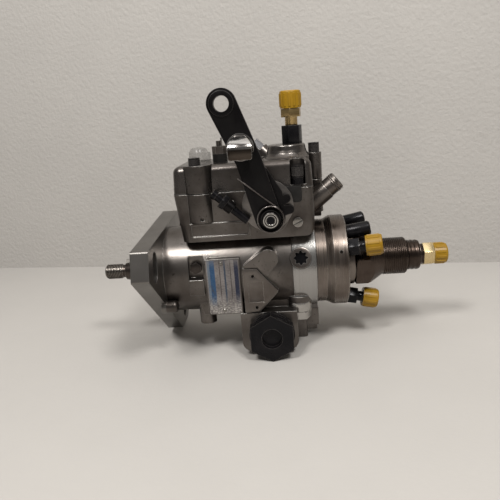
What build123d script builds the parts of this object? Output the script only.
"""Rotary distributor diesel injection pump, built as an assembly of separate pieces.

Frame: X runs along the drive shaft from the mounting face towards the fuel inlet, Z points up to the
governor cover, and the throttle lever is on the -Y side. The origin is the centre of the flange's
front face, on the shaft axis. All sizes are millimetres.
"""
import os
from math import atan2, cos, degrees, hypot, pi, radians, sin, sqrt

from build123d import *

# ---------------------------------------------------------------- clearances
RUN = 0.05              # radial running clearance of shafts, pistons and valves
GAP = 0.3               # space between a moving piece and what it almost touches
PLAY = 0.02             # half the play of a block that sits in a slot

# ---------------------------------------------------------------- mounting flange and pilot
FLANGE_T = 14.7         # thickness of the flange
FLANGE_CLOCK = 17.6     # the single ear stands this many degrees above the -Y side
EAR_REACH = 85.0        # shaft axis to the flat end of the single ear
EAR_HALF = 12.25        # half the width of that flat end
SHOULDER_BACK = 34.5    # how far the two wide shoulders lie behind the axis
SHOULDER_HALF = 59.4    # half the width across the shoulders
FOOT_BACK = 68.0        # axis to the straight back edge
FOOT_HALF = 50.0        # half the width of the back edge before its corners are rounded
FOOT_ROUND = 11.0       # radius of the back corners
EDGE_ROUND = 2.0        # radius of the other flange corners
SLOT_CIRCLE_R = 65.0    # radius of the circle that the three slots lie on
SLOT_W = 14.0           # width of a slot, for an M12 stud
SLOT_SWEEP = 10.5       # degrees that a stud can travel in its slot
SLOT_ANGLES = (0, 144, -144)
PILOT_R = 35.0
PILOT_L = 5.0
PILOT_GROOVE_W = 2.6
PILOT_GROOVE_DEPTH = 2.6

# ---------------------------------------------------------------- housing barrel
BARREL_R = 39.8
BARREL_NOSE_R = 39.5
BARREL_NOSE_END = 36.0
LAND_START = 127.3      # the turned land that the head is clamped in
LAND_R = 40.8
BARREL_END = 148.2
BORE_R = 31.0
BORE_START = 26.0
SEAL_BORE_R = 20.0
SEAL_BORE_END = 9.0

# ---------------------------------------------------------------- governor housing and cover
BOX_LEFT = 34.8         # left wall at the foot
BOX_LEFT_TOP = 30.4     # left wall at the joint with the cover
BOX_RIGHT = 148.0
BOX_HALF = 38.0
BOX_FOOT = 33.0
BOX_TOP = 74.0
BOX_ROUND = 7.0
BOX_CORNER_R = 8.0      # round of the lower edge at the inlet end
BOX_WALL = 5.0
BOX_FLOOR = 38.0
GASKET_T = 0.8
COVER_TOP = 97.0
COVER_HALF = BOX_HALF - 2.0
COVER_SLOPE = 1.2       # how far the cover walls lean in over their height
COVER_ROUND = 6.0
COVER_WALL = 4.0
LEFT_BOSS_X = 53.0
LEFT_BOSS_Y = -(BOX_HALF - 6.5)
LEFT_BOSS_R = 12.0
LEFT_BOSS_FOOT = 50.0
LEFT_BOSS_TOP = 97.4
LEFT_SCREW_X = 50.5
FRONT_NOTCH_X = 135.5
FRONT_NOTCH_Y = -(BOX_HALF - 3.8)
FRONT_NOTCH_R = 6.2
FRONT_COLLAR_H = 6.8    # spacer under the head of the front cover screw
REAR_BOSS_X = 152.7
REAR_BOSS_Y = 12.0
REAR_BOSS_R = 6.6
REAR_BOSS_TOP = 98.0
REAR_BOSS_FOOT = 44.0
COVER_SCREW_R = 4.9
COVER_SCREW_H = 8.6
LEFT_SCREW_H = 6.0
COVER_SHANK_R = 3.0
COVER_SCREWS_AT = (
    (LEFT_SCREW_X, LEFT_BOSS_Y), (FRONT_NOTCH_X, FRONT_NOTCH_Y), (REAR_BOSS_X, REAR_BOSS_Y),
)

# ---------------------------------------------------------------- top fittings
PORT_BOSS_X = 128.0
PORT_BOSS_R = 16.3
PORT_BOSS_H = 10.5
PORT_BOSS_FLARE = 5.2
RETURN_X = 133.5
RETURN_HEX = 15.6
RETURN_HEX_H = 15.7
RETURN_NECK_R = 5.4
RETURN_NECK_H = 7.0
RETURN_NUT_HEX = 16.0
RETURN_NUT_H = 7.0
PORT_STUB_R = 6.0
TERMINAL_X = 70.0
TERMINAL_Y = -10.0
PORT_CAP_X = 48.0
PORT_CAP_Y = 14.0
SIDE_PLUG_X = 106.0
SIDE_PLUG_Y = 17.0

# ---------------------------------------------------------------- drive shaft
THREAD_R = 7.0
SHAFT_TIP = -48.8
THREAD_END = -32.5
NECK_R = 6.0
TAPER_START = -29.0
TAPER_START_R = 8.2
TAPER_END = -4.0
JOURNAL_R = 12.5
JOURNAL_END = 58.0
TANG_L = 8.0
TANG_T = 10.0
KEY_T = 4.0
KEY_START = -28.5
KEY_LENGTH = 16.0
KEY_R = 8.6

# ---------------------------------------------------------------- rotor and pumping head
HUB_R = 14.0
ROTOR_HEAD_START = 100.0
ROTOR_HEAD_END = 115.7
ROTOR_HEAD_R = 20.0
ROTOR_R = 9.4
ROTOR_END = 174.0
SHOE_W = 11.0
SHOE_IN = 9.5
ROLLER_R = 4.5
ROLLER_AT = 16.9
ROLLER_L = 11.0
PLUNGER_R = 3.2
PLUNGER_IN = 3.5
PLUNGERS = 4
BLADES = 4
BLADE_T = 1.6
BLADE_IN = 4.6
BLADE_OUT = 10.1
LINER_BORE_MAJOR = 12.6
LINER_BORE_MINOR = 10.3

# ---------------------------------------------------------------- cam ring and timing advance
CAM_START = 98.0
CAM_BASE_R = 23.0
CAM_LIFT = 1.4
CAM_LOBES = 6
ADVANCE_X = 106.0
ADVANCE_Z = -52.0
ADVANCE_BORE_R = 14.0
ADVANCE_THREAD_R = 16.0
ADVANCE_NEAR = -44.0
ADVANCE_FAR = 40.0
ADVANCE_THREAD_L = 9.0
ADVANCE_BLOCK_LEFT = 79.5
ADVANCE_BLOCK_RIGHT = 129.0
ADVANCE_BLOCK_FOOT = -69.0
PISTON_HALF = 16.0
PISTON_TRAVEL = 6.0
PIN_SHANK_R = 2.2
PIN_BALL_R = 4.2

# ---------------------------------------------------------------- governor
CAGE_START = 68.0
CAGE_DISC_START = 84.0
CAGE_END = 87.5
CAGE_R = 29.0
WEIGHTS = 6
WEIGHT_IN = 17.0
WEIGHT_OUT = 28.0
WEIGHT_START = 69.5
WEIGHT_SPAN = 42.0
SLEEVE_START = 46.0
SLEEVE_END = 66.4
SLEEVE_R = 16.5
COLLAR_R = 20.0
ARM_X = 45.0
ARM_PIVOT_Z = 48.0
ARM_T = 3.0
ARM_PAD_R = 2.0
PIVOT_R = 2.5
HOOK_Y = 6.0
HOOK_Z = 65.0
HOOK_R = 1.2
HOOK_W = 4.0
VALVE_X = 131.0
VALVE_R = 4.0
VALVE_FOOT = 20.0
VALVE_TOP = 56.0
VALVE_ARM_T = 2.0

# ---------------------------------------------------------------- hydraulic head and inlet
HEAD_SPIGOT_L = 30.2    # how far the head reaches into the housing bore
BAND_R = 38.0
BAND_END = 157.0
RIM_START = 163.0
RIM_R = 41.0
HEAD_END = 175.7
PUMP_POCKET_R = 20.5
PUMP_POCKET_START = 163.0
END_PLATE_R = 23.7
END_PLATE_T = 8.3
INLET_HEX = 45.0
INLET_HEX_L = 10.4
INLET_TURN = 20.0
INLET_CONE_L = 14.9
INLET_RIB_R = 16.2
INLET_RIB_L = 21.1
INLET_SHOULDER_R = 13.2
INLET_SHOULDER_L = 12.6
INLET_RING_R = 9.4
INLET_RING_L = 3.3
UNION_HEX = 19.0
UNION_L = 9.3
CAP_WALL = 1.6

# ---------------------------------------------------------------- outlets
OUTLET_CIRCLE_R = 33.5
OUTLET_SPLAY = 11.0     # degrees that each fitting leans outwards
OUTLET_HEX = 14.0
OUTLET_HEX_L = 10.0
OUTLET_NECK_R = 4.6
OUTLET_STUB_START = 15.0
OUTLET_STUB_END = 26.0
OUTLET_CAPPED = {"near": 32.2, "low": -80.0}
OUTLET_PLUGGED = (113.4, 59.4, 167.0, -138.0)
OUTLET_PLUG_R = 6.3
OUTLET_PLUG_L = 21.3

# ---------------------------------------------------------------- dust caps
CAP_R = 9.2
CAP_L = 14.0
RETURN_CAP_R = 9.6
RETURN_CAP_L = 14.6
INLET_CAP_R = 9.8
INLET_CAP_L = 12.0

# ---------------------------------------------------------------- throttle
THROTTLE_X = 111.5
THROTTLE_Z = 52.8
THROTTLE_R = 5.0
THROTTLE_BOSS_R = 15.0
THROTTLE_BOSS_Y = -(BOX_HALF + 5.0)
THROTTLE_REACH = 14.0   # how far the shaft reaches in from the side of the housing
STOP_PLATE_T = 2.5
STOP_PLATE_R = 21.0
STOP_PLATE_X = 109.5
STOP_PLATE_Z = 62.0
LEVER_BASE_T = 4.2
LEVER_T = 5.5
EYE_X = 79.4
EYE_Z = 144.1
EYE_R = 11.6
EYE_HOLE_R = 6.0
EYE_BOSS_R = 9.6
EYE_BOSS_T = 1.5
LEVER_HALF = 10.2
LEVER_BEND_X = 97.0
LEVER_BEND_Z = 100.0
HUB_OUT_R = 7.6
PIVOT_END_R = 12.0
KNOB_X = 91.4
KNOB_Z = 110.6
KNOB_HALF = 9.4
KNOB_DROP = 9.2         # knob centre to its flat foot
KNOB_L = 11.0
KNOB_WASHER_R = 10.8
KNOB_WASHER_T = 1.2
SPRING_WIRE_R = 0.9
SPRING_LEG_R = 0.75
SPRING_COIL_R = 10.5
NUT_R = 6.6
NUT_L = 4.0


# ================================================================ helpers
def rod(radius, start, end):
    """Round bar between two points."""
    line = Vector(*end) - Vector(*start)
    seat = Plane(origin=start, z_dir=line)
    return seat * Cylinder(radius, line.length, align=(Align.CENTER, Align.CENTER, Align.MIN))


def hex_bar(flats, start, end, turn=0.0):
    """Hexagonal bar between two points, sized across its flats."""
    line = Vector(*end) - Vector(*start)
    section = Rot(0, 0, turn) * RegularPolygon(flats / 2, 6, major_radius=False)
    return Plane(origin=start, z_dir=line) * extrude(section, line.length)


def block(x_span, y_span, z_span):
    """Rectangular block from its limits along each axis."""
    size = [b - a for a, b in (x_span, y_span, z_span)]
    centre = [(a + b) / 2 for a, b in (x_span, y_span, z_span)]
    return Pos(*centre) * Box(*size)


def turned(*profile):
    """Solid of revolution about X from (x, radius) points."""
    outline = make_face(Polyline(*profile, close=True))
    return revolve(outline, Axis.X)


def raised(part, x, y, z):
    """Stand a part that was turned about X upright, with its x = 0 at the point."""
    return Pos(x, y, z) * Rot(0, -90, 0) * part


def aimed(part, origin, along):
    """Carry a part that was drawn along X to a point and a direction."""
    along = Vector(*along).normalized()
    side = Vector(0, 1, 0) if abs(along.Y) < 0.9 else Vector(1, 0, 0)
    return Plane(origin=origin, x_dir=along, z_dir=along.cross(side)) * part


def polar(part, count, start=0.0):
    """Copies of a part round the shaft axis."""
    return [Rot(start + 360 * i / count, 0, 0) * part for i in range(count)]


def side_face(y):
    """Drawing plane parallel to the -Y side: first number is X, second is Z."""
    return Plane(origin=(0, y, 0), x_dir=(1, 0, 0), z_dir=(0, -1, 0))


def side_slab(sketch, y_front, y_back):
    """Sketch drawn as (X, Z) and carried from y_front back to y_back."""
    return extrude(side_face(y_back) * sketch, y_back - y_front, dir=(0, -1, 0))


def radial(angle):
    """Direction square to the shaft axis, at an angle above the -Y side."""
    return Vector(0, -cos(radians(angle)), sin(radians(angle)))


def hull_of(*circles):
    """Face that wraps circles given as (x, z, radius)."""
    edges = []
    for x, z, radius in circles:
        edges += (Pos(x, z) * Circle(radius)).edges()
    return make_hull(edges)


def whole(*solids):
    """Several separate solids of one node."""
    return Compound(children=[s.solid() if len(s.solids()) == 1 else s for s in solids])


# ================================================================ housing
def flange_plate():
    ear = radial(FLANGE_CLOCK)
    seat = Plane(origin=(0, 0, 0), x_dir=tuple(ear), z_dir=(1, 0, 0))
    outline = Polygon(
        (EAR_REACH, -EAR_HALF),
        (EAR_REACH, EAR_HALF),
        (-SHOULDER_BACK, SHOULDER_HALF),
        (-FOOT_BACK, FOOT_HALF),
        (-FOOT_BACK, -FOOT_HALF),
        (-SHOULDER_BACK, -SHOULDER_HALF),
        align=None,
    )
    feet = outline.vertices().filter_by(lambda v: v.X < -FOOT_BACK + 1)
    outline = fillet(feet, FOOT_ROUND)
    corners = outline.vertices().filter_by(lambda v: v.X > -SHOULDER_BACK - 1)
    outline = fillet(corners, EDGE_ROUND)
    for angle in SLOT_ANGLES:
        path = CenterArc((0, 0), SLOT_CIRCLE_R, angle - SLOT_SWEEP / 2, SLOT_SWEEP)
        outline -= SlotArc(path, SLOT_W)
    return extrude(seat * outline, FLANGE_T)


def barrel_shell():
    profile = (
        (0, 0),
        (0, BARREL_NOSE_R - 4),
        (FLANGE_T, BARREL_NOSE_R),
        (BARREL_NOSE_END, BARREL_R),
        (LAND_START, BARREL_R),
        (LAND_START, LAND_R),
        (BARREL_END - 0.8, LAND_R),
        (BARREL_END, LAND_R - 0.8),
        (BARREL_END, 0),
    )
    return turned(*profile)


def pilot_spigot():
    groove_end = -1.2
    groove_start = groove_end - PILOT_GROOVE_W
    profile = (
        (FLANGE_T / 2, 0),
        (FLANGE_T / 2, PILOT_R),
        (groove_end, PILOT_R),
        (groove_end, PILOT_R - PILOT_GROOVE_DEPTH),
        (groove_start, PILOT_R - PILOT_GROOVE_DEPTH),
        (groove_start, PILOT_R),
        (-PILOT_L + 0.8, PILOT_R),
        (-PILOT_L, PILOT_R - 0.8),
        (-PILOT_L, 0),
    )
    return turned(*profile)


def box_outline(left, half, inset=0.0, corner=BOX_ROUND):
    """Rounded plan of the governor housing, drawn in XY."""
    length = BOX_RIGHT - left - 2 * inset
    plan = RectangleRounded(length, 2 * (half - inset), corner)
    return Pos((BOX_RIGHT + left) / 2, 0) * plan


def governor_box():
    foot = Pos(0, 0, BOX_FOOT) * box_outline(BOX_LEFT, BOX_HALF)
    top = Pos(0, 0, BOX_TOP) * box_outline(BOX_LEFT_TOP, BOX_HALF)
    box = loft([foot, top])
    corner_x, corner_z = BOX_RIGHT - BOX_CORNER_R, BOX_FOOT + BOX_CORNER_R
    corner = block((corner_x, BOX_RIGHT + 1), (-60, 60), (BOX_FOOT - 1, corner_z))
    box -= corner - rod(BOX_CORNER_R, (corner_x, -61, corner_z), (corner_x, 61, corner_z))
    box += block((BOX_LEFT + 8, BOX_RIGHT - 8), (-26, 26), (10, BOX_FOOT + 2))
    box += rod(LEFT_BOSS_R, (LEFT_BOSS_X, LEFT_BOSS_Y, LEFT_BOSS_FOOT),
               (LEFT_BOSS_X, LEFT_BOSS_Y, BOX_TOP))
    box += rod(REAR_BOSS_R, (REAR_BOSS_X, REAR_BOSS_Y, REAR_BOSS_FOOT),
               (REAR_BOSS_X, REAR_BOSS_Y, BOX_TOP))
    return box


SPEED_PLUG_ANGLE = 38.4
SPEED_PLUG_SEAT = (161.0, -12.0, 67.3)
SPEED_PLUG_R = 8.0
SPEED_BOSS_R = 8.6
SPEED_PLUG_L = 12.4
SPEED_SHANK_R = 5.0
SPEED_SHANK_L = 9.0
SPEED_DIRECTION = (cos(radians(SPEED_PLUG_ANGLE)), 0, sin(radians(SPEED_PLUG_ANGLE)))


def along_speed_plug(distance):
    return tuple(a + b * distance for a, b in zip(SPEED_PLUG_SEAT, SPEED_DIRECTION))


NAMEPLATE_PAD = -(BARREL_R + 1.7)
NAMEPLATE_LEFT, NAMEPLATE_RIGHT = 53.0, 81.0
NAMEPLATE_FOOT, NAMEPLATE_TOP = -31.5, 16.8
NAMEPLATE_T = 0.8
PAD_RIM = 1.0
TIMING_T = 2.6
TIMING_OUTLINE = ((84.2, 8.0), (96.5, 8.0), (114.0, -13.0), (97.0, -31.3), (84.2, -31.3))
TEARDROP = ((106.5, 15.5, 8.6), (85.9, 9.8, 1.2), (104.5, 1.8, 1.2))
TEARDROP_T = 0.9
POCKET_X = (37.0, 50.0)
POCKET_Z = (0.0, 19.5)
POCKET_FLOOR = -33.0
POCKET_BLOCK_FOOT = -14.0
FRAME_X = (42.5, 93.0)
FRAME_Z = (36.0, 49.0)
FRAME_W = 1.6
FRAME_T = 1.2
STUD_BOSS_R = 5.6
STUD_BOSS_L = 10.3
STUD_BOSS_AT = (-38.5, -24.0)
LUG_AT = (48.0, -22.0)
LUG_R = 7.5
LUG_FOOT = -46.0
RIB_OUTLINE = ((38.5, -12.0), (51.0, -12.0), (52.0, -36.0), (46.3, -36.0))
RIB_FRONT = -31.0
END_BOLT_AT = (0.0, 46.6)
END_WASHER_T = 1.6
LOCK_ANGLE = 19.8
LOCK_X = 134.5
LOCK_R = 9.0
LOCK_SEAT = 36.5
LOCK_OUT = 41.6
LOCK_SHANK_R = 5.5
LOCATE_X = 132.0
LOCATE_Y = -27.5
LOCATE_R = 10.5
LOCATE_SEAT = -27.5
LOCATE_FOOT = -36.6
LOCATE_HEX = 18.0
LOCATE_HEAD = 6.9
LOCATE_SHANK_R = 4.0
LOCATE_SHANK_L = 4.0
LEG_X = (129.0, 139.0)
LEG_Y = (-8.0, 20.0)
LEG_FOOT = -73.0
STEP_X = 150.0
BOLT_HEX = 9.5
BOLT_HEAD = 5.5
BOLT_SHANK_R = 2.8
BOLT_SHANK_L = 2.6
STOP_BLOCK_X = (123.0, 137.8)
STOP_BLOCK_Z = (62.5, 76.0)
SLOT_SCREW_AT = (133.5, 45.5)
SLOT_SCREW_R = 4.2
SLOT_SHANK_R = 2.0
TIMING_SCREWS = ((92.6, 1.6), (94.6, -27.0))
TIMING_SCREW_R = 1.3


THROTTLE_BORE_END = -(BOX_HALF - BOX_WALL - 3.0)


def near_side_pads():
    """Flat pads and cast shapes on the -Y side of the barrel and governor housing."""
    plate_pad = Rectangle(
        NAMEPLATE_RIGHT - NAMEPLATE_LEFT + 2 * PAD_RIM,
        NAMEPLATE_TOP - NAMEPLATE_FOOT + 2 * PAD_RIM,
    )
    centre = ((NAMEPLATE_LEFT + NAMEPLATE_RIGHT) / 2, (NAMEPLATE_FOOT + NAMEPLATE_TOP) / 2)
    pads = side_slab(Pos(*centre) * plate_pad, NAMEPLATE_PAD, -12)
    pads += side_slab(Polygon(*TIMING_OUTLINE, align=None), NAMEPLATE_PAD, -12)
    drop = side_slab(hull_of(*TEARDROP), NAMEPLATE_PAD - TEARDROP_T, -20)
    pads += drop - side_slab(offset(Polygon(*TIMING_OUTLINE, align=None), GAP), -60, NAMEPLATE_PAD)
    pads += block(POCKET_X, (NAMEPLATE_PAD, -20), (POCKET_BLOCK_FOOT, POCKET_Z[0]))
    pads += side_slab(Polygon(*RIB_OUTLINE, align=None), RIB_FRONT, LUG_AT[1] + 4)
    pads += rod(LUG_R, (*LUG_AT, LUG_FOOT), (*LUG_AT, -20))
    outer = Rectangle(FRAME_X[1] - FRAME_X[0], FRAME_Z[1] - FRAME_Z[0])
    inner = offset(outer, -FRAME_W)
    frame_centre = Pos((FRAME_X[0] + FRAME_X[1]) / 2, (FRAME_Z[0] + FRAME_Z[1]) / 2)
    pads += side_slab(frame_centre * (outer - inner), -BOX_HALF - FRAME_T, -BOX_HALF + 1)
    pads += rod(THROTTLE_BOSS_R, (THROTTLE_X, THROTTLE_BOSS_Y, THROTTLE_Z), (THROTTLE_X, THROTTLE_BORE_END, THROTTLE_Z))
    y, z = STUD_BOSS_AT
    stud = rod(STUD_BOSS_R, (FLANGE_T - 4, y, z), (FLANGE_T + STUD_BOSS_L, y, z))
    pads += fillet(stud.edges().sort_by(Axis.X)[-1], 3.2)
    return pads


def underside():
    """Advance cylinder block, leg and screw boss below the barrel."""
    width = ADVANCE_BLOCK_RIGHT - ADVANCE_BLOCK_LEFT
    middle = (ADVANCE_BLOCK_LEFT + ADVANCE_BLOCK_RIGHT) / 2
    cast = None
    for top, y_front, y_back in ((-20, -30, ADVANCE_FAR), (NAMEPLATE_FOOT - 1, ADVANCE_NEAR + 1.5, -29)):
        height = top - ADVANCE_BLOCK_FOOT
        section = Pos(middle, top - height / 2) * Rectangle(width, height)
        section = fillet(section.vertices().group_by(Axis.Y)[0], 9)
        slab = side_slab(section, y_front, y_back)
        cast = slab if cast is None else cast + slab
    cast += rod(LOCATE_R, (LOCATE_X, LOCATE_Y, LOCATE_SEAT - 1), (LOCATE_X, LOCATE_Y, -22))
    leg = block((LEG_X[0] - 4, LEG_X[1]), LEG_Y, (LEG_FOOT, -30))
    leg = fillet(leg.edges().filter_by(Axis.Z), 3)
    cast += leg
    cast += block((LEG_X[1] - 2, STEP_X), (LEG_Y[0] + 4, LEG_Y[1] - 4), (-63, -46))
    cast += block((LEG_X[1] - 2, STEP_X - 1.5), (LEG_Y[0] + 8, LEG_Y[1] - 8), (-69, -60))
    return cast


def housing_cavities():
    """Everything that is bored or milled out of the casting."""
    bores = rod(BORE_R, (BORE_START, 0, 0), (BARREL_END + 1, 0, 0))
    bores += rod(JOURNAL_R + RUN, (-PILOT_L - 1, 0, 0), (BORE_START + 1, 0, 0))
    bores += rod(SEAL_BORE_R, (-PILOT_L - 1, 0, 0), (SEAL_BORE_END, 0, 0))
    inner_left = BOX_LEFT + BOX_WALL
    plan = Pos((inner_left + BOX_RIGHT - BOX_WALL) / 2, 0, BOX_FLOOR) * RectangleRounded(
        BOX_RIGHT - BOX_WALL - inner_left, 2 * (BOX_HALF - BOX_WALL), 4
    )
    chamber = extrude(plan, BOX_TOP - BOX_FLOOR + 1)
    arm_slot = block((BORE_START + 11, 62), (-25, 25), (15, BOX_FLOOR + 1))
    valve_hole = rod(VALVE_R + 1.5, (VALVE_X, 0, 15), (VALVE_X, 0, BOX_FLOOR + 1))
    bores += [chamber, arm_slot, valve_hole]
    return bores


def fastener_seats():
    """Holes and counterbores for screws, plugs, shafts and pins."""
    cuts = []
    for side in (1, -1):
        out = radial(LOCK_ANGLE)
        out = Vector(0, out.Y * side, out.Z)
        origin = Vector(LOCK_X, 0, 0)
        cuts.append(rod(LOCK_R, tuple(origin + out * LOCK_SEAT), tuple(origin + out * (LAND_R + 9))))
        cuts.append(rod(LOCK_SHANK_R, tuple(origin + out * (BORE_R - 2)), tuple(origin + out * LOCK_SEAT)))
    cuts.append(block(POCKET_X, (-60, POCKET_FLOOR), POCKET_Z))
    x, z = sum(POCKET_X) / 2, sum(POCKET_Z) / 2
    cuts.append(rod(BOLT_SHANK_R, (x, POCKET_FLOOR, z), (x, POCKET_FLOOR + BOLT_SHANK_L, z)))
    y, z = END_BOLT_AT
    cuts.append(rod(BOLT_SHANK_R, (BOX_RIGHT - BOLT_SHANK_L, y, z), (BOX_RIGHT + 1, y, z)))
    x, y = LOCATE_X, LOCATE_Y
    cuts.append(rod(LOCATE_SHANK_R, (x, y, LOCATE_SEAT - 1), (x, y, LOCATE_SEAT + LOCATE_SHANK_L)))
    cuts.append(rod(LOCATE_R + RUN, (x, y, -90), (x, y, LOCATE_SEAT)))
    cuts.append(rod(SPEED_SHANK_R, along_speed_plug(-SPEED_SHANK_L), along_speed_plug(5)))
    x, z = THROTTLE_X, THROTTLE_Z
    cuts.append(rod(THROTTLE_R + RUN, (x, THROTTLE_BOSS_Y - 9, z), (x, THROTTLE_BORE_END, z)))
    pin_end = BOX_HALF - 2
    cuts.append(rod(PIVOT_R, (ARM_X, -pin_end, ARM_PIVOT_Z), (ARM_X, pin_end, ARM_PIVOT_Z)))
    for x, y in COVER_SCREWS_AT:
        cuts.append(rod(COVER_SHANK_R, (x, y, BOX_TOP - 7), (x, y, BOX_TOP + 1)))
    x, z = SLOT_SCREW_AT
    cuts.append(rod(SLOT_SHANK_R, (x, -BOX_HALF - 3, z), (x, -BOX_HALF + 4, z)))
    for x, z in TIMING_SCREWS:
        cuts.append(rod(TIMING_SCREW_R, (x, NAMEPLATE_PAD - 1, z), (x, NAMEPLATE_PAD + 5, z)))
    return cuts


def advance_cuts():
    """Crosswise bore for the timing piston and the window that its pin reaches through."""
    x, z = ADVANCE_X, ADVANCE_Z
    near_end = ADVANCE_NEAR + 1.5 + ADVANCE_THREAD_L
    bore = rod(ADVANCE_BORE_R, (x, -60, z), (x, 60, z))
    near = rod(ADVANCE_THREAD_R, (x, -60, z), (x, near_end, z))
    far = rod(ADVANCE_THREAD_R, (x, ADVANCE_FAR - ADVANCE_THREAD_L, z), (x, 60, z))
    window = block((x - 6, x + 6), (-7, PISTON_TRAVEL + 8), (z, -20))
    return [bore, near, far, window]


SCREW_R = 3.2
SCREW_HEAD_R = 4.0
SCREW_POST_R = 5.2
SCREW_POST_AT = 17.5    # head of the screw to the middle of its post
SCREW_POST_HALF = 3.5
SCREW_NUT = 11.5
SCREW_NUT_L = 4.5


def stop_screw_line():
    """Two points on the axis of the low-speed stop screw."""
    y = THROTTLE_BOSS_Y - STOP_PLATE_T - SCREW_R - 0.4
    return Vector(65.5, y, 75.5), Vector(92.6, y, 51.0)


def screw_post():
    head, tip = stop_screw_line()
    along = (tip - head).normalized()
    middle = head + along * SCREW_POST_AT
    half = SCREW_POST_HALF
    post = rod(SCREW_POST_R, tuple(middle - along * half), tuple(middle + along * half))
    foot = half / 1.42
    post += block(
        (middle.X - foot, middle.X + foot), (middle.Y, -BOX_HALF + 1), (middle.Z - foot, middle.Z + foot)
    )
    return post, rod(SCREW_R, tuple(head), tuple(tip))


def pump_housing():
    body = flange_plate() + pilot_spigot() + barrel_shell() + governor_box()
    body += near_side_pads() + underside()
    body += rod(SPEED_BOSS_R, along_speed_plug(-26), SPEED_PLUG_SEAT)
    post, screw_hole = screw_post()
    body += post
    body -= housing_cavities()
    body -= rod(BAND_R, (BARREL_END, 0, 0), (RIM_START + 1, 0, 0))
    body -= turned((BAND_END, 0), (BAND_END, BAND_R), (RIM_START, RIM_R), (RIM_START + 5, RIM_R), (RIM_START + 5, 0))
    body -= fastener_seats()
    body -= advance_cuts()
    body -= screw_hole
    body -= side_slab(Pos(54.4, 53.5) * Circle(1.8), -60, LEFT_BOSS_Y - LEFT_BOSS_R + 3)
    return body


def pilot_seal():
    """Sealing ring that fills the groove of the pilot, with its edges broken."""
    middle = -1.2 - PILOT_GROOVE_W / 2
    half = PILOT_GROOVE_W / 2 - PLAY
    inner, outer, edge = PILOT_R - PILOT_GROOVE_DEPTH + PLAY, PILOT_R - PLAY, 0.7
    return turned(
        (middle - half, inner + edge), (middle - half + edge, inner), (middle + half - edge, inner),
        (middle + half, inner + edge), (middle + half, outer - edge), (middle + half - edge, outer),
        (middle - half + edge, outer), (middle - half, outer - edge),
    )


def shaft_seals():
    seals = []
    for start in (-3.4, 2.8):
        seals.append(turned(
            (start, SEAL_BORE_R), (start + 5.6, SEAL_BORE_R), (start + 5.6, JOURNAL_R + 2),
            (start + 4.0, JOURNAL_R + RUN), (start, JOURNAL_R + RUN),
        ))
    return seals


# ================================================================ hydraulic head and inlet end
def hydraulic_head():
    body = turned(
        (BARREL_END - HEAD_SPIGOT_L, 0), (BARREL_END - HEAD_SPIGOT_L, BORE_R - 0.8),
        (BARREL_END - HEAD_SPIGOT_L + 0.8, BORE_R),
        (BARREL_END, BORE_R), (BARREL_END, BAND_R), (BAND_END, BAND_R), (RIM_START, RIM_R),
        (HEAD_END - 1, RIM_R), (HEAD_END, RIM_R - 1), (HEAD_END, 0),
    )
    body -= rod(ROTOR_R + RUN, (ROTOR_HEAD_START, 0, 0), (HEAD_END + 1, 0, 0))
    body -= rod(PUMP_POCKET_R, (PUMP_POCKET_START, 0, 0), (HEAD_END + 1, 0, 0))
    body -= rod(VALVE_R + RUN, (VALVE_X, 0, VALVE_FOOT - GAP), (VALVE_X, 0, 40))
    body -= rod(1.6, (169.0, -RIM_R - 1, 0), (169.0, -RIM_R + 4, 0)).rotate(Axis.X, -24)
    return body


def transfer_liner():
    bore = Ellipse(LINER_BORE_MAJOR, LINER_BORE_MINOR)
    ring = Circle(PUMP_POCKET_R) - bore
    seat = Plane(origin=(PUMP_POCKET_START, 0, 0), z_dir=(1, 0, 0))
    return seat * extrude(ring, HEAD_END - PUMP_POCKET_START)


def end_plate():
    start, end = HEAD_END, HEAD_END + END_PLATE_T
    body = turned(
        (start, 0), (start, END_PLATE_R), (end - 1.5, END_PLATE_R), (end, END_PLATE_R - 1.5), (end, 0),
    )
    return body


INLET_START = HEAD_END + END_PLATE_T
HEX_END = INLET_START + INLET_HEX_L
CONE_END = HEX_END + INLET_CONE_L
RIB_END = CONE_END + INLET_RIB_L
SHOULDER_END = RIB_END + INLET_SHOULDER_L
INLET_END = SHOULDER_END + INLET_RING_L
UNION_END = INLET_END + UNION_L


def inlet_adapter():
    corner_r = INLET_HEX / sqrt(3)
    shape = turned(
        (INLET_START, 0), (INLET_START, corner_r - 1), (INLET_START + 1, corner_r), (HEX_END, corner_r),
        (CONE_END, INLET_RIB_R), (RIB_END, INLET_RIB_R), (RIB_END, INLET_SHOULDER_R),
        (SHOULDER_END - 5, INLET_SHOULDER_R), (SHOULDER_END - 1.6, INLET_SHOULDER_R - 1.9),
        (SHOULDER_END, INLET_RING_R), (INLET_END, INLET_RING_R), (INLET_END, 0),
    )
    flats = hex_bar(INLET_HEX, (INLET_START - 1, 0, 0), (INLET_END + 1, 0, 0), INLET_TURN)
    shape = shape & flats
    return shape - rod(4.0, (INLET_START + 6, 0, 0), (INLET_END + 1, 0, 0))


def inlet_union():
    body = hex_bar(UNION_HEX, (INLET_END, 0, 0), (UNION_END, 0, 0), 8)
    body += rod(7.2, (UNION_END, 0, 0), (UNION_END + 9.5, 0, 0))
    return body - rod(4.0, (INLET_END - 1, 0, 0), (UNION_END + 20, 0, 0))


def dust_cap(bore_r, outer_r, length):
    """Push-on cap drawn along X, open at x = 0."""
    skirt = turned(
        (0, bore_r + PLAY), (0, outer_r), (length - 1.8, outer_r), (length, outer_r - 1.8),
        (length, 0), (length - 2.5, 0), (length - 2.5, bore_r + PLAY),
    )
    return skirt


def outlet_frame(angle):
    """Seat point and lean of an outlet fitting on the head's end face."""
    out = radial(angle)
    seat = Vector(HEAD_END, 0, 0) + out * OUTLET_CIRCLE_R
    lean = radians(OUTLET_SPLAY)
    along = Vector(1, 0, 0) * cos(lean) + out * sin(lean)
    return tuple(seat), tuple(along)


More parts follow.
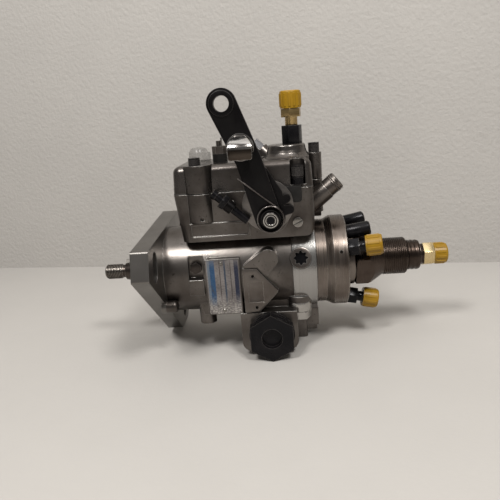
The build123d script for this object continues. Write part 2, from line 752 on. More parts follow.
def flush(part):
    """Trim a leaning fitting level with the head's end face."""
    return part - block((HEAD_END - 30, HEAD_END), (-70, 70), (-70, 70))


def outlet_fitting(angle):
    seat, along = outlet_frame(angle)
    body = hex_bar(OUTLET_HEX, (-4, 0, 0), (OUTLET_HEX_L, 0, 0), 15)
    body += turned(
        (OUTLET_HEX_L, 0), (OUTLET_HEX_L, OUTLET_NECK_R), (OUTLET_STUB_START, OUTLET_NECK_R),
        (OUTLET_STUB_START, PORT_STUB_R), (OUTLET_STUB_END - 1, PORT_STUB_R),
        (OUTLET_STUB_END, PORT_STUB_R - 1), (OUTLET_STUB_END, 0),
    )
    body -= rod(1.6, (12, 0, 0), (OUTLET_STUB_END + 1, 0, 0))
    return flush(aimed(body, seat, along))


def outlet_plug(angle):
    seat, along = outlet_frame(angle)
    end = OUTLET_PLUG_L
    body = turned((-4, 0), (-4, OUTLET_PLUG_R), (end - 1.5, OUTLET_PLUG_R), (end, OUTLET_PLUG_R - 1.5), (end, 0))
    return flush(aimed(body, seat, along))


def outlet_cap(angle):
    seat, along = outlet_frame(angle)
    cap = dust_cap(PORT_STUB_R, CAP_R, CAP_L)
    start = Vector(*seat) + Vector(*along) * (OUTLET_STUB_START + GAP)
    return aimed(cap, tuple(start), along)


def inlet_cap():
    return Pos(UNION_END + GAP, 0, 0) * dust_cap(7.2, INLET_CAP_R, INLET_CAP_L)


# ================================================================ governor cover and its fittings
def cover_plan(z, inset):
    left = BOX_LEFT_TOP + inset
    right = BOX_RIGHT - inset
    half = COVER_HALF - inset
    return Pos((left + right) / 2, 0, z) * RectangleRounded(right - left, 2 * half, BOX_ROUND)


def notch_cut(z):
    return rod(FRONT_NOTCH_R, (FRONT_NOTCH_X, FRONT_NOTCH_Y, z), (FRONT_NOTCH_X, FRONT_NOTCH_Y, 130)) \
        + block((FRONT_NOTCH_X - FRONT_NOTCH_R, FRONT_NOTCH_X + FRONT_NOTCH_R), (-60, FRONT_NOTCH_Y), (z, 130))


def port_boss():
    """Round boss that flares into the top of the cover."""
    foot = PORT_BOSS_R + PORT_BOSS_FLARE
    boss = turned(
        (-6, 0), (-6, foot), (0, foot), (1.4, foot - 2.0), (3.4, foot - 3.7), (6.0, PORT_BOSS_R + 0.6),
        (PORT_BOSS_H - 0.8, PORT_BOSS_R), (PORT_BOSS_H, PORT_BOSS_R - 0.8), (PORT_BOSS_H, 0),
    )
    room = block((0, BOX_RIGHT - COVER_SLOPE), (-COVER_HALF, COVER_HALF), (0, 200))
    return raised(boss, PORT_BOSS_X, 0, COVER_TOP) & room


def governor_cover():
    base = BOX_TOP + GASKET_T
    shell = loft([cover_plan(base, 0), cover_plan(COVER_TOP, COVER_SLOPE)])
    shell = fillet(shell.edges().group_by(Axis.Z)[-1], COVER_ROUND)
    shell += rod(LEFT_BOSS_R, (LEFT_BOSS_X, LEFT_BOSS_Y, base), (LEFT_BOSS_X, LEFT_BOSS_Y, LEFT_BOSS_TOP))
    shell += rod(REAR_BOSS_R, (REAR_BOSS_X, REAR_BOSS_Y, base), (REAR_BOSS_X, REAR_BOSS_Y, REAR_BOSS_TOP))
    shell += port_boss()
    shell += aimed(rod(7.4, (-8, 0, 0), (1.5, 0, 0)), side_plug_seat(), SIDE_PLUG_DIR)
    hollow = extrude(
        Pos((BOX_LEFT_TOP + BOX_RIGHT) / 2, 0, base - 1)
        * RectangleRounded(BOX_RIGHT - BOX_LEFT_TOP - 2 * COVER_WALL - 9, 2 * (COVER_HALF - COVER_WALL - 7), 4),
        COVER_TOP - 4 - base + 1,
    )
    shell -= hollow
    shell -= notch_cut(base + 1.5)
    for x, y in COVER_SCREWS_AT:
        shell -= rod(COVER_SHANK_R, (x, y, base - 1), (x, y, 130))
    shell -= rod(3.2, (TERMINAL_X, TERMINAL_Y, 80), (TERMINAL_X, TERMINAL_Y, 130))
    shell -= rod(4.0, (RETURN_X, 0, 80), (RETURN_X, 0, 130))
    return shell


def cover_gasket():
    ring = cover_plan(BOX_TOP, 0)
    hole = Pos((BOX_LEFT_TOP + BOX_RIGHT) / 2, 0, BOX_TOP) * RectangleRounded(
        BOX_RIGHT - BOX_LEFT_TOP - 2 * COVER_WALL - 9, 2 * (COVER_HALF - COVER_WALL - 7), 4
    )
    sheet = extrude(ring, GASKET_T)
    for x, y, r in (
        (LEFT_BOSS_X, LEFT_BOSS_Y, LEFT_BOSS_R - 0.6), (REAR_BOSS_X, REAR_BOSS_Y, REAR_BOSS_R - 0.6),
    ):
        sheet += rod(r, (x, y, BOX_TOP), (x, y, BOX_TOP + GASKET_T))
    sheet -= extrude(hole, GASKET_T)
    for x, y in COVER_SCREWS_AT:
        sheet -= rod(COVER_SHANK_R, (x, y, BOX_TOP - 1), (x, y, BOX_TOP + 2))
    return sheet


def socket_screw(x, y, seat, height=COVER_SCREW_H):
    """Cap screw standing on z = seat, with its shank reaching into the housing."""
    head = turned(
        (0, 0), (0, COVER_SCREW_R), (height - 0.6, COVER_SCREW_R), (height, COVER_SCREW_R - 0.6), (height, 0),
    )
    screw = raised(head, x, y, seat)
    screw += rod(COVER_SHANK_R, (x, y, BOX_TOP - 7), (x, y, seat))
    socket = hex_bar(4.5, (x, y, seat + height - 4), (x, y, seat + height + 1))
    return screw - socket


def cover_screws():
    base = BOX_TOP + GASKET_T
    left = socket_screw(LEFT_SCREW_X, LEFT_BOSS_Y, LEFT_BOSS_TOP, LEFT_SCREW_H)
    rear = socket_screw(REAR_BOSS_X, REAR_BOSS_Y, REAR_BOSS_TOP)
    x, y, foot = FRONT_NOTCH_X, FRONT_NOTCH_Y, base + 1.5
    front = socket_screw(x, y, foot + FRONT_COLLAR_H)
    front += rod(COVER_SCREW_R, (x, y, foot), (x, y, foot + FRONT_COLLAR_H - 0.8))
    return [left, front, rear]


PORT_TOP = COVER_TOP + PORT_BOSS_H
RETURN_HEX_TOP = PORT_TOP + RETURN_HEX_H
RETURN_NECK_TOP = RETURN_HEX_TOP + RETURN_NECK_H
RETURN_NUT_TOP = RETURN_NECK_TOP + RETURN_NUT_H


def return_adapter():
    body = hex_bar(RETURN_HEX, (RETURN_X, 0, PORT_TOP), (RETURN_X, 0, RETURN_HEX_TOP), 10)
    body += rod(4.0, (RETURN_X, 0, COVER_TOP - 4), (RETURN_X, 0, PORT_TOP))
    return body - rod(2.2, (RETURN_X, 0, 80), (RETURN_X, 0, 130))


def return_union():
    body = rod(RETURN_NECK_R, (RETURN_X, 0, RETURN_HEX_TOP), (RETURN_X, 0, RETURN_NECK_TOP))
    body += hex_bar(RETURN_NUT_HEX, (RETURN_X, 0, RETURN_NECK_TOP), (RETURN_X, 0, RETURN_NUT_TOP), 20)
    body += rod(PORT_STUB_R, (RETURN_X, 0, RETURN_NUT_TOP), (RETURN_X, 0, RETURN_NUT_TOP + 9.5))
    return body - rod(2.2, (RETURN_X, 0, 100), (RETURN_X, 0, 160))


def return_cap():
    return raised(dust_cap(PORT_STUB_R, RETURN_CAP_R, RETURN_CAP_L), RETURN_X, 0, RETURN_NUT_TOP + GAP)


SIDE_PLUG_DIR = (-0.72, 0.18, 0.72)


def side_plug_seat():
    return (SIDE_PLUG_X, SIDE_PLUG_Y, COVER_TOP + 4.4)


def cover_side_plug():
    body = hex_bar(11.5, (1.5, 0, 0), (11.0, 0, 0), 30)
    return aimed(body, side_plug_seat(), SIDE_PLUG_DIR)


def terminal_insulator():
    x, y = TERMINAL_X, TERMINAL_Y
    ring = rod(6.4, (x, y, COVER_TOP), (x, y, COVER_TOP + 7))
    return ring - rod(3.2, (x, y, COVER_TOP - 1), (x, y, COVER_TOP + 8))


def terminal_stud():
    x, y = TERMINAL_X, TERMINAL_Y
    stud = rod(3.2, (x, y, COVER_TOP - 4), (x, y, COVER_TOP + 7))
    stud += hex_bar(11.0, (x, y, COVER_TOP + 7), (x, y, COVER_TOP + 13.5), 5)
    stud += rod(2.4, (x, y, COVER_TOP + 13.5), (x, y, COVER_TOP + 18))
    stud += block((x + 1.8, x + 2.8), (y - 3, y + 3), (COVER_TOP + 13.5, COVER_TOP + 20.5))
    return stud


def cover_port_cap():
    x, y = PORT_CAP_X, PORT_CAP_Y
    dome = raised(
        turned((0, 0), (0, 9.5), (8, 9.0), (11.5, 6.8), (12.6, 3.5), (12.6, 0)), x, y, COVER_TOP
    )
    dome += rod(3.6, (x + 8, y - 5, COVER_TOP), (x + 8, y - 5, COVER_TOP + 8))
    return dome


def shutoff_solenoid():
    x, y = TERMINAL_X, TERMINAL_Y
    return rod(9.0, (x, y, COVER_TOP - 24), (x, y, COVER_TOP - 4))


# ================================================================ pieces screwed to the near side
def timing_cover():
    plate = Polygon(*TIMING_OUTLINE, align=None)
    plate = fillet(plate.vertices(), 1.5)
    body = side_slab(plate, NAMEPLATE_PAD - TIMING_T, NAMEPLATE_PAD)
    recess = Pos(94.6, -13.0) * Rectangle(13.0, 18.5)
    body -= side_slab(recess, NAMEPLATE_PAD - TIMING_T - 1, NAMEPLATE_PAD - TIMING_T + 1.4)
    for x, z in TIMING_SCREWS:
        body -= rod(TIMING_SCREW_R, (x, NAMEPLATE_PAD - 5, z), (x, NAMEPLATE_PAD + 1, z))
    return body


def nameplate():
    centre = ((NAMEPLATE_LEFT + NAMEPLATE_RIGHT) / 2, (NAMEPLATE_FOOT + NAMEPLATE_TOP) / 2)
    plate = RectangleRounded(NAMEPLATE_RIGHT - NAMEPLATE_LEFT, NAMEPLATE_TOP - NAMEPLATE_FOOT, 1.2)
    return side_slab(Pos(*centre) * plate, NAMEPLATE_PAD - NAMEPLATE_T, NAMEPLATE_PAD)


def stop_screw():
    head, tip = stop_screw_line()
    along = (tip - head).normalized()
    body = rod(SCREW_R, tuple(head + along * 3), tuple(tip))
    return body + rod(SCREW_HEAD_R, tuple(head), tuple(head + along * 4))


def stop_screw_nut():
    head, tip = stop_screw_line()
    along = (tip - head).normalized()
    end = head + along * (SCREW_POST_AT - SCREW_POST_HALF)
    start = end - along * SCREW_NUT_L
    nut = hex_bar(SCREW_NUT, tuple(start), tuple(end), 12)
    return nut - rod(SCREW_R, tuple(start - along), tuple(end + along))


def speed_plug():
    body = turned(
        (0, 0), (0, SPEED_PLUG_R), (SPEED_PLUG_L - 1, SPEED_PLUG_R),
        (SPEED_PLUG_L, SPEED_PLUG_R - 1), (SPEED_PLUG_L, 0),
    )
    body += rod(SPEED_SHANK_R, (-SPEED_SHANK_L, 0, 0), (0, 0, 0))
    body -= block((SPEED_PLUG_L - 2.5, SPEED_PLUG_L + 1), (-1.1, 1.1), (-20, 20))
    return aimed(body, SPEED_PLUG_SEAT, SPEED_DIRECTION)


def stop_block():
    body = block(STOP_BLOCK_X, (THROTTLE_BOSS_Y + GAP, -BOX_HALF), STOP_BLOCK_Z)
    return fillet(body.edges().filter_by(Axis.Y).group_by(Axis.Z)[0], 3)


def side_slotted_screw():
    x, z = SLOT_SCREW_AT
    body = rod(SLOT_SCREW_R, (x, -BOX_HALF - 3.0, z), (x, -BOX_HALF, z))
    body += rod(SLOT_SHANK_R, (x, -BOX_HALF, z), (x, -BOX_HALF + 4, z))
    slot = Pos(x, -BOX_HALF - 3.0, z) * Rot(0, -25, 0) * Box(12, 2.4, 1.2)
    return body - slot


def housing_bolts():
    x, z = sum(POCKET_X) / 2, sum(POCKET_Z) / 2
    side = hex_bar(BOLT_HEX, (x, POCKET_FLOOR - BOLT_HEAD, z), (x, POCKET_FLOOR, z), 10)
    side += rod(BOLT_SHANK_R, (x, POCKET_FLOOR, z), (x, POCKET_FLOOR + BOLT_SHANK_L, z))
    y, z = END_BOLT_AT
    seat = BOX_RIGHT + END_WASHER_T
    end = rod(BOLT_HEX * 0.6, (BOX_RIGHT, y, z), (seat, y, z))
    end += hex_bar(BOLT_HEX, (seat, y, z), (seat + BOLT_HEAD + 1, y, z), 10)
    end += rod(BOLT_SHANK_R, (BOX_RIGHT - BOLT_SHANK_L, y, z), (BOX_RIGHT, y, z))
    return [side, end]


def head_lock_screws():
    screws = []
    for side in (1, -1):
        out = radial(LOCK_ANGLE)
        out = (0, out.Y * side, out.Z)
        body = turned(
            (BORE_R, 0), (BORE_R, LOCK_SHANK_R), (LOCK_SEAT, LOCK_SHANK_R), (LOCK_SEAT, LOCK_R),
            (LOCK_OUT - 0.6, LOCK_R), (LOCK_OUT, LOCK_R - 0.6), (LOCK_OUT, 0),
        )
        body = aimed(body, (LOCK_X, 0, 0), out)
        body -= rod(BORE_R, (LOCK_X - 20, 0, 0), (LOCK_X + 20, 0, 0))
        screws.append(body)
    return screws


def head_locating_screw():
    x, y = LOCATE_X, LOCATE_Y
    profile = (
        (LOCATE_FOOT, 0), (LOCATE_FOOT, LOCATE_R - 1.0), (LOCATE_FOOT + 1.0, LOCATE_R),
        (LOCATE_SEAT, LOCATE_R), (LOCATE_SEAT, LOCATE_SHANK_R),
        (LOCATE_SEAT + LOCATE_SHANK_L, LOCATE_SHANK_R), (LOCATE_SEAT + LOCATE_SHANK_L, 0),
    )
    body = raised(turned(*profile), x, y, 0)
    return body + hex_bar(LOCATE_HEX, (x, y, LOCATE_FOOT - LOCATE_HEAD), (x, y, LOCATE_FOOT), 0)


# ================================================================ timing advance and cam
def advance_plug():
    seat = ADVANCE_NEAR + 1.5
    shank = rod(ADVANCE_THREAD_R, (ADVANCE_X, seat, ADVANCE_Z), (ADVANCE_X, seat + ADVANCE_THREAD_L, ADVANCE_Z))
    collar = rod(20.0, (ADVANCE_X, seat - 4, ADVANCE_Z), (ADVANCE_X, seat, ADVANCE_Z))
    head = hex_bar(37.0, (ADVANCE_X, seat - 13, ADVANCE_Z), (ADVANCE_X, seat - 4, ADVANCE_Z), 0)
    dish = rod(9.0, (ADVANCE_X, seat - 20, ADVANCE_Z), (ADVANCE_X, seat - 8, ADVANCE_Z))
    return shank + collar + head - dish


def advance_spring_plug():
    seat = ADVANCE_FAR
    shank = rod(ADVANCE_THREAD_R, (ADVANCE_X, seat - ADVANCE_THREAD_L, ADVANCE_Z), (ADVANCE_X, seat, ADVANCE_Z))
    return shank + hex_bar(32.0, (ADVANCE_X, seat, ADVANCE_Z), (ADVANCE_X, seat + 9, ADVANCE_Z), 30)


def advance_piston():
    body = rod(ADVANCE_BORE_R - RUN, (ADVANCE_X, -PISTON_HALF, ADVANCE_Z), (ADVANCE_X, PISTON_HALF, ADVANCE_Z))
    hole_r = PIN_BALL_R + RUN
    body -= rod(hole_r, (ADVANCE_X, 0, ADVANCE_Z - 6), (ADVANCE_X, 0, -30))
    return body


def cam_ring():
    mean_r = CAM_BASE_R - CAM_LIFT / 2
    arcs = 2 * CAM_LOBES
    points = []
    for i in range(2 * arcs):
        angle = pi * (i - 0.5) / arcs
        reach = mean_r + CAM_LIFT / 2 * cos(CAM_LOBES * angle)
        points.append((reach * cos(angle), reach * sin(angle)))
    points.append(points[0])
    track = make_face([ThreePointArc(*points[2 * i:2 * i + 3]) for i in range(arcs)])
    ring = Circle(BORE_R - RUN) - track
    end = BARREL_END - HEAD_SPIGOT_L - GAP
    body = Plane(origin=(CAM_START, 0, 0), z_dir=(1, 0, 0)) * extrude(ring, end - CAM_START)
    return body - rod(PIN_SHANK_R + 1.3, (ADVANCE_X, 0, -BORE_R - 1), (ADVANCE_X, 0, -26.5))


def advance_pin():
    pin = rod(PIN_SHANK_R, (ADVANCE_X, 0, ADVANCE_Z), (ADVANCE_X, 0, -28))
    pin += rod(PIN_SHANK_R + 1.3, (ADVANCE_X, 0, -30.2), (ADVANCE_X, 0, -26.5))
    steps = [radians(angle) for angle in range(-90, 91, 20)]
    ball = turned(*[(PIN_BALL_R * sin(a), PIN_BALL_R * cos(a)) for a in steps])
    return pin + raised(ball, ADVANCE_X, 0, ADVANCE_Z)


# ================================================================ rotating pieces
def drive_shaft():
    body = turned(
        (SHAFT_TIP, 0), (SHAFT_TIP, THREAD_R - 1), (SHAFT_TIP + 1, THREAD_R), (THREAD_END, THREAD_R),
        (THREAD_END, NECK_R), (TAPER_START, NECK_R), (TAPER_START, TAPER_START_R),
        (TAPER_END, JOURNAL_R), (JOURNAL_END, JOURNAL_R), (JOURNAL_END, 0),
    )
    tang = block((JOURNAL_END - 1, JOURNAL_END + TANG_L), (-JOURNAL_R, JOURNAL_R), (-TANG_T / 2, TANG_T / 2))
    body += tang & rod(JOURNAL_R, (JOURNAL_END - 1, 0, 0), (JOURNAL_END + TANG_L, 0, 0))
    return body - key_shape()


def key_shape():
    """Half-round key in the top of the taper."""
    centre_x = KEY_START + KEY_LENGTH / 2
    disc = rod(KEY_R, (centre_x, -KEY_T / 2, 11.2), (centre_x, KEY_T / 2, 11.2))
    return disc & block((KEY_START, KEY_START + KEY_LENGTH), (-10, 10), (0, 11.2))


def distributor_rotor():
    body = turned(
        (JOURNAL_END + GAP, 0), (JOURNAL_END + GAP, HUB_R), (ROTOR_HEAD_START, HUB_R),
        (ROTOR_HEAD_START, ROTOR_HEAD_R), (ROTOR_HEAD_END, ROTOR_HEAD_R), (ROTOR_HEAD_END, ROTOR_R),
        (ROTOR_END, ROTOR_R), (ROTOR_END, 0),
    )
    half = TANG_T / 2 + PLAY
    body -= block((JOURNAL_END, JOURNAL_END + TANG_L + GAP), (-20, 20), (-half, half))
    middle = (ROTOR_HEAD_START + ROTOR_HEAD_END) / 2
    slot = block(
        (middle - ROLLER_L / 2, middle + ROLLER_L / 2), (-SHOE_W / 2, SHOE_W / 2), (SHOE_IN, ROTOR_HEAD_R + 2)
    )
    bore = rod(PLUNGER_R, (middle, 0, 0), (middle, 0, SHOE_IN + 1))
    body -= polar(slot + bore, PLUNGERS, 45)
    blade = block(
        (PUMP_POCKET_START + GAP, ROTOR_END + 1), (-BLADE_T / 2, BLADE_T / 2), (BLADE_IN, ROTOR_R + 1)
    )
    body -= polar(blade, BLADES)
    return body


def roller_middle():
    return (ROTOR_HEAD_START + ROTOR_HEAD_END) / 2


def pump_rollers():
    middle = roller_middle()
    roller = rod(ROLLER_R, (middle - ROLLER_L / 2, 0, ROLLER_AT), (middle + ROLLER_L / 2, 0, ROLLER_AT))
    return polar(roller, PLUNGERS, 45)


def roller_shoes():
    middle = roller_middle()
    span = (middle - ROLLER_L / 2, middle + ROLLER_L / 2)
    shoe = block(span, (-SHOE_W / 2, SHOE_W / 2), (SHOE_IN, ROLLER_AT + 1))
    shoe -= rod(ROLLER_R, (span[0] - 1, 0, ROLLER_AT), (span[1] + 1, 0, ROLLER_AT))
    return polar(shoe, PLUNGERS, 45)


def pump_plungers():
    middle = roller_middle()
    return polar(rod(PLUNGER_R, (middle, 0, PLUNGER_IN), (middle, 0, SHOE_IN)), PLUNGERS, 45)


def transfer_blades():
    span = (PUMP_POCKET_START + GAP, ROTOR_END)
    return polar(block(span, (-BLADE_T / 2, BLADE_T / 2), (BLADE_IN, BLADE_OUT)), BLADES)


def sector(inner, outer, span, x0, x1):
    """Piece of a ring, centred on +Z."""
    ring = Circle(outer) - Circle(inner)
    wedge = make_face(Polyline(
        (0, 0),
        (60 * cos(radians(span / 2)), -60 * sin(radians(span / 2))),
        (60 * cos(radians(span / 2)), 60 * sin(radians(span / 2))),
        close=True,
    ))
    face = ring & wedge
    seat = Plane(origin=(x0, 0, 0), x_dir=(0, 0, 1), z_dir=(1, 0, 0))
    return seat * extrude(face, x1 - x0)


def weight_cage():
    body = rod(CAGE_R, (CAGE_DISC_START, 0, 0), (CAGE_END, 0, 0))
    body += rod(HUB_R + 2.0, (CAGE_START + 4, 0, 0), (CAGE_END, 0, 0))
    rib_span = 360 / WEIGHTS - WEIGHT_SPAN - 5
    rib = sector(HUB_R + 1, CAGE_R, rib_span, CAGE_START + 4, CAGE_END)
    for piece in polar(rib, WEIGHTS, 180 / WEIGHTS):
        body += piece
    return body - rod(HUB_R, (CAGE_START, 0, 0), (CAGE_END + 1, 0, 0))


def governor_weights():
    weight = sector(WEIGHT_IN, WEIGHT_OUT, WEIGHT_SPAN, WEIGHT_START, CAGE_DISC_START)
    toe = block((SLEEVE_END + GAP, WEIGHT_START + 1), (-4, 4), (WEIGHT_IN + 0.4, WEIGHT_IN + 3.5))
    return polar(weight + toe, WEIGHTS)


def thrust_sleeve():
    inner = JOURNAL_R + RUN
    return turned(
        (SLEEVE_START, inner), (SLEEVE_START, COLLAR_R), (SLEEVE_START + 3, COLLAR_R),
        (SLEEVE_START + 3, SLEEVE_R), (SLEEVE_END - 3, SLEEVE_R), (SLEEVE_END - 3, COLLAR_R),
        (SLEEVE_END, COLLAR_R), (SLEEVE_END, HUB_R + GAP), (SLEEVE_START + 8, HUB_R + GAP),
        (SLEEVE_START + 8, inner),
    )


# ================================================================ governor linkage
def governor_arm():
    x0, x1 = ARM_X - ARM_T / 2, ARM_X + ARM_T / 2
    pad_x = SLEEVE_START - GAP - ARM_PAD_R
    plate = block((x0, x1), (-20.5, 20.5), (25, ARM_PIVOT_Z + 3))
    plate += block((x0, x1), (-9, 9), (ARM_PIVOT_Z, HOOK_Z + 5))
    plate += block((pad_x - 2.3, x1), (-20.5, 20.5), (22.5, 30))
    for side in (1, -1):
        near, far = sorted((side * 14.5, side * 20.5))
        plate += block((pad_x - 2.3, pad_x), (near, far), (-3, 30))
        plate += rod(ARM_PAD_R, (pad_x, near, 0), (pad_x, far, 0))
    plate += rod(4.2, (ARM_X, -22, ARM_PIVOT_Z), (ARM_X, 22, ARM_PIVOT_Z))
    return plate - rod(PIVOT_R + RUN, (ARM_X, -30, ARM_PIVOT_Z), (ARM_X, 30, ARM_PIVOT_Z))


def arm_pivot_pin():
    return rod(PIVOT_R, (ARM_X, -BOX_HALF + 2, ARM_PIVOT_Z), (ARM_X, BOX_HALF - 2, ARM_PIVOT_Z))


def linkage_hook():
    start = ARM_X + ARM_T / 2 + GAP
    strip = block((start, VALVE_X + 2), (HOOK_Y - HOOK_W / 2, HOOK_Y + HOOK_W / 2), (HOOK_Z - 0.8, HOOK_Z + 0.8))
    return strip + rod(HOOK_R, (VALVE_X, HOOK_Y, VALVE_TOP - 1), (VALVE_X, HOOK_Y, HOOK_Z))


def metering_valve():
    body = rod(VALVE_R, (VALVE_X, 0, VALVE_FOOT), (VALVE_X, 0, VALVE_TOP))
    arm = Pos(VALVE_X, HOOK_Y / 2 + 1.5, VALVE_TOP + VALVE_ARM_T / 2) * Box(7.0, HOOK_Y + 8.0, VALVE_ARM_T)
    body += arm
    slot_w = 2 * (HOOK_R + 0.2)
    body -= Pos(VALVE_X, HOOK_Y, VALVE_TOP) * Box(slot_w, 3.6, 12)
    return body


# ================================================================ throttle
BASE_BACK = THROTTLE_BOSS_Y - STOP_PLATE_T - GAP
BASE_FRONT = BASE_BACK - LEVER_BASE_T
LEVER_BACK = BASE_FRONT - GAP
LEVER_FRONT = LEVER_BACK - LEVER_T
HUB_FRONT = LEVER_FRONT - 3.2


def throttle_shaft():
    inner_end = -BOX_HALF + THROTTLE_REACH
    body = rod(THROTTLE_R, (THROTTLE_X, HUB_FRONT, THROTTLE_Z), (THROTTLE_X, inner_end, THROTTLE_Z))
    body += rod(3.2, (THROTTLE_X, HUB_FRONT - NUT_L, THROTTLE_Z), (THROTTLE_X, HUB_FRONT, THROTTLE_Z))
    return body


def stop_plate():
    disc = Pos(STOP_PLATE_X, STOP_PLATE_Z) * Circle(STOP_PLATE_R)
    disc += Pos(THROTTLE_X, THROTTLE_Z) * Circle(13.0)
    disc -= Pos(THROTTLE_X, THROTTLE_Z) * Circle(THROTTLE_R + GAP)
    return side_slab(disc, THROTTLE_BOSS_Y - STOP_PLATE_T, THROTTLE_BOSS_Y)


def lever_base():
    outline = hull_of((THROTTLE_X, THROTTLE_Z, PIVOT_END_R), (103.5, 92.5, 6.0), (118.0, 72.0, 4.0))
    outline += hull_of((THROTTLE_X, THROTTLE_Z + 8, 5.0), (125.0, 67.5, 3.4))
    outline += hull_of((THROTTLE_X, THROTTLE_Z + 3, 5.0), (127.2, 58.4, 3.6))
    plate = side_slab(outline, BASE_FRONT, BASE_BACK)
    plate += rod(HUB_OUT_R, (THROTTLE_X, HUB_FRONT, THROTTLE_Z), (THROTTLE_X, BASE_BACK, THROTTLE_Z))
    return plate - rod(THROTTLE_R, (THROTTLE_X, -70, THROTTLE_Z), (THROTTLE_X, -30, THROTTLE_Z))


def throttle_lever():
    upper = hull_of((EYE_X, EYE_Z, EYE_R), (LEVER_BEND_X, LEVER_BEND_Z, LEVER_HALF))
    lower = hull_of((LEVER_BEND_X, LEVER_BEND_Z, LEVER_HALF), (THROTTLE_X - 1.5, THROTTLE_Z, PIVOT_END_R - 1))
    outline = upper + lower
    plate = side_slab(outline, LEVER_FRONT, LEVER_BACK)
    plate += rod(EYE_BOSS_R, (EYE_X, LEVER_FRONT - EYE_BOSS_T, EYE_Z), (EYE_X, LEVER_BACK, EYE_Z))
    plate -= rod(EYE_HOLE_R, (EYE_X, -80, EYE_Z), (EYE_X, -30, EYE_Z))
    return plate - rod(HUB_OUT_R + RUN, (THROTTLE_X, -80, THROTTLE_Z), (THROTTLE_X, -30, THROTTLE_Z))


def lever_knob():
    """Stub with a flat foot and a top that curves back to the lever, on a round washer."""
    dome = Pos(KNOB_X, KNOB_Z) * Circle(KNOB_HALF)
    foot = Pos(KNOB_X, KNOB_Z - KNOB_DROP / 2) * RectangleRounded(2 * KNOB_HALF, KNOB_DROP, 2.0)
    seat = LEVER_FRONT - KNOB_WASHER_T
    front = LEVER_FRONT - KNOB_L
    body = side_slab(dome + foot, front, seat)
    crown_r = KNOB_L + 3.0
    crown = Vector(KNOB_X, LEVER_FRONT + 2.0, KNOB_Z + KNOB_HALF - crown_r)
    body &= rod(crown_r, (crown.X - 20, crown.Y, crown.Z), (crown.X + 20, crown.Y, crown.Z))
    return body + rod(KNOB_WASHER_R, (KNOB_X, seat, KNOB_Z), (KNOB_X, LEVER_FRONT, KNOB_Z))


def lever_spring():
    y = LEVER_FRONT - SPRING_WIRE_R - 0.05
    steps = [radians(angle + 22.5) for angle in range(0, 360, 45)]
    wire = [(SPRING_WIRE_R * sin(a), SPRING_COIL_R + SPRING_WIRE_R * cos(a)) for a in steps]
    coil = Pos(THROTTLE_X, y, THROTTLE_Z) * Rot(0, 0, 90) * turned(*wire)
    hook = Vector(87.6, y, 86.6)
    reach = Vector(THROTTLE_X, y, THROTTLE_Z) - hook
    distance = hypot(reach.X, reach.Z)
    tangent = sqrt(distance ** 2 - SPRING_COIL_R ** 2)
    bend = atan2(SPRING_COIL_R, tangent)
    heading = atan2(reach.Z, reach.X) + bend
    end = hook + Vector(cos(heading), 0, sin(heading)) * tangent
    leg = rod(SPRING_LEG_R, tuple(hook), tuple(end))
    return coil + leg


def throttle_nut():
    y0 = HUB_FRONT - NUT_L
    body = rod(NUT_R, (THROTTLE_X, y0, THROTTLE_Z), (THROTTLE_X, HUB_FRONT, THROTTLE_Z))
    return body - rod(3.2, (THROTTLE_X, y0 - 1, THROTTLE_Z), (THROTTLE_X, HUB_FRONT + 1, THROTTLE_Z))


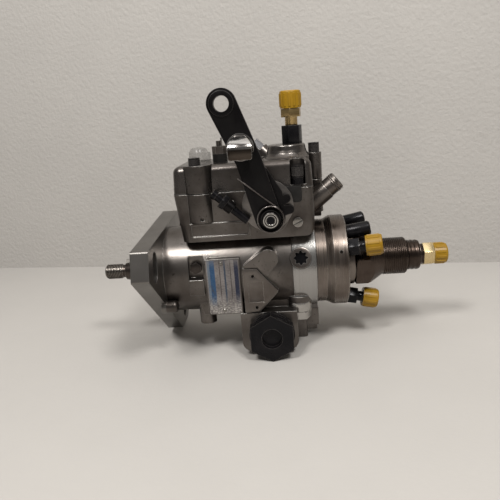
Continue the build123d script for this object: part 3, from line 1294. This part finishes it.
# ================================================================ assembly
def nodes():
    return {
        "pump_housing": pump_housing(),
        "pilot_seal": pilot_seal(),
        "shaft_seals": shaft_seals(),
        "hydraulic_head": hydraulic_head(),
        "head_locating_screw": head_locating_screw(),
        "head_lock_screws": head_lock_screws(),
        "end_plate": end_plate(),
        "inlet_adapter": inlet_adapter(),
        "inlet_union": inlet_union(),
        "transfer_liner": transfer_liner(),
        "outlet_fittings": [outlet_fitting(a) for a in OUTLET_CAPPED.values()],
        "outlet_plugs": [outlet_plug(a) for a in OUTLET_PLUGGED],
        "outlet_cap_near": outlet_cap(OUTLET_CAPPED["near"]),
        "outlet_cap_low": outlet_cap(OUTLET_CAPPED["low"]),
        "inlet_cap": inlet_cap(),
        "return_cap": return_cap(),
        "governor_cover": governor_cover(),
        "cover_gasket": cover_gasket(),
        "cover_screws": cover_screws(),
        "return_adapter": return_adapter(),
        "return_union": return_union(),
        "cover_side_plug": cover_side_plug(),
        "terminal_insulator": terminal_insulator(),
        "terminal_stud": terminal_stud(),
        "cover_port_cap": cover_port_cap(),
        "shutoff_solenoid": shutoff_solenoid(),
        "timing_cover": timing_cover(),
        "nameplate": nameplate(),
        "stop_screw": stop_screw(),
        "stop_screw_nut": stop_screw_nut(),
        "speed_plug": speed_plug(),
        "stop_block": stop_block(),
        "side_slotted_screw": side_slotted_screw(),
        "housing_bolts": housing_bolts(),
        "advance_plug": advance_plug(),
        "advance_spring_plug": advance_spring_plug(),
        "advance_piston": advance_piston(),
        "advance_pin": advance_pin(),
        "cam_ring": cam_ring(),
        "drive_shaft": drive_shaft(),
        "woodruff_key": key_shape(),
        "distributor_rotor": distributor_rotor(),
        "weight_cage": weight_cage(),
        "governor_weights": governor_weights(),
        "thrust_sleeve": thrust_sleeve(),
        "governor_arm": governor_arm(),
        "arm_pivot_pin": arm_pivot_pin(),
        "linkage_hook": linkage_hook(),
        "metering_valve": metering_valve(),
        "pump_rollers": pump_rollers(),
        "roller_shoes": roller_shoes(),
        "pump_plungers": pump_plungers(),
        "transfer_blades": transfer_blades(),
        "throttle_shaft": throttle_shaft(),
        "lever_base": lever_base(),
        "throttle_lever": throttle_lever(),
        "lever_knob": lever_knob(),
        "lever_spring": lever_spring(),
        "throttle_nut": throttle_nut(),
        "stop_plate": stop_plate(),
    }


def main():
    os.makedirs("parts", exist_ok=True)
    for name, shape in nodes().items():
        pieces = shape if isinstance(shape, list) else [shape]
        solids = [solid for piece in pieces for solid in piece.solids()]
        result = solids[0] if len(solids) == 1 else Compound(solids)
        export_step(result, f"parts/{name}.step")
        print(f"{name:22s} {len(solids)} solid(s) {sum(s.volume for s in solids):10.1f} mm3")


main()
